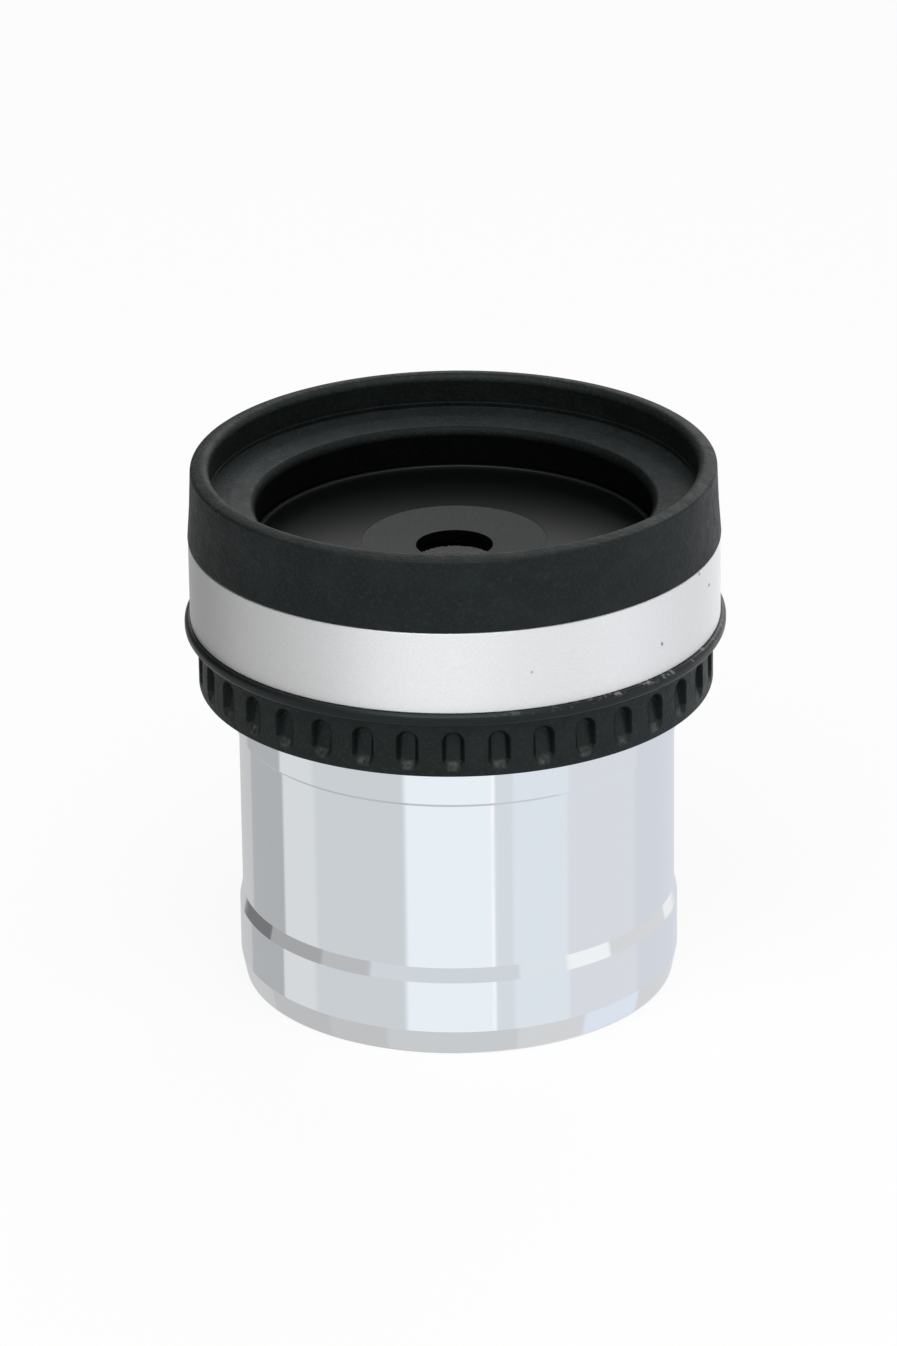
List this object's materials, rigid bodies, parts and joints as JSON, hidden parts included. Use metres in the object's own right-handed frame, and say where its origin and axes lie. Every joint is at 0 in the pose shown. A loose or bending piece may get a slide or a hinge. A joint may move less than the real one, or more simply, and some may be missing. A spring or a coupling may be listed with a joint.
{
  "type": "telescope eyepiece",
  "caption": "Short telescope eyepiece: chromed push-fit barrel with a safety undercut, pocketed grip ring, satin band and a rubber eyecup round a small eye lens.",
  "frame": {"origin": "centre of the barrel's open end, which it stands on", "axes": "+Z along the optical axis from the open end of the barrel to the eye; X and Y are alike, and one pocket of the grip ring faces -Y"},
  "size_m": [0.0386, 0.0386, 0.0391],
  "materials": {
    "barrel_chrome": "polished, blackened inside",
    "housing_black": "satin black anodised",
    "eye_end_black": "matte black anodised",
    "blackened_metal": "dead matte black",
    "band_aluminium": "fine satin",
    "grip_rubber": "satin",
    "eyecup_rubber": "soft matte",
    "coated_glass": "polished, coated",
    "lens_glass": "polished"
  },
  "bodies": {
    "nosepiece": {"nosepiece": "barrel_chrome"},
    "glare_baffle": {"glare_baffle": "blackened_metal"},
    "housing": {"housing": "housing_black", "grip_ring": "grip_rubber", "silver_band": "band_aluminium", "eye_plate": "eye_end_black", "eye_cap": "eye_end_black", "lens_cell": "blackened_metal", "eye_flint": "coated_glass", "eye_crown": "lens_glass", "lens_spacer": "blackened_metal", "field_crown": "lens_glass", "field_flint": "coated_glass", "field_stop": "blackened_metal", "stop_lock_ring": "blackened_metal"},
    "eyecup": {"eyecup": "eyecup_rubber"}
  },
  "joints": [
    {"name": "housing_rise", "type": "slide", "parent": "nosepiece", "child": "glare_baffle", "axis": [0, 0, 1], "range_m": [0, 0.003]},
    {"name": "housing_turn", "type": "hinge", "parent": "glare_baffle", "child": "housing", "pos_m": [0, 0, 0.02275], "axis": [0, 0, 1], "range_deg": [0, 1440]},
    {"name": "eyecup_lift", "type": "slide", "parent": "housing", "child": "eyecup", "axis": [0, 0, 1], "range_m": [0, 0.008]}
  ],
  "couplings": [
    {"joint": "housing_rise", "follows": "housing_turn", "m_per_rad": 0.00011936}
  ]
}
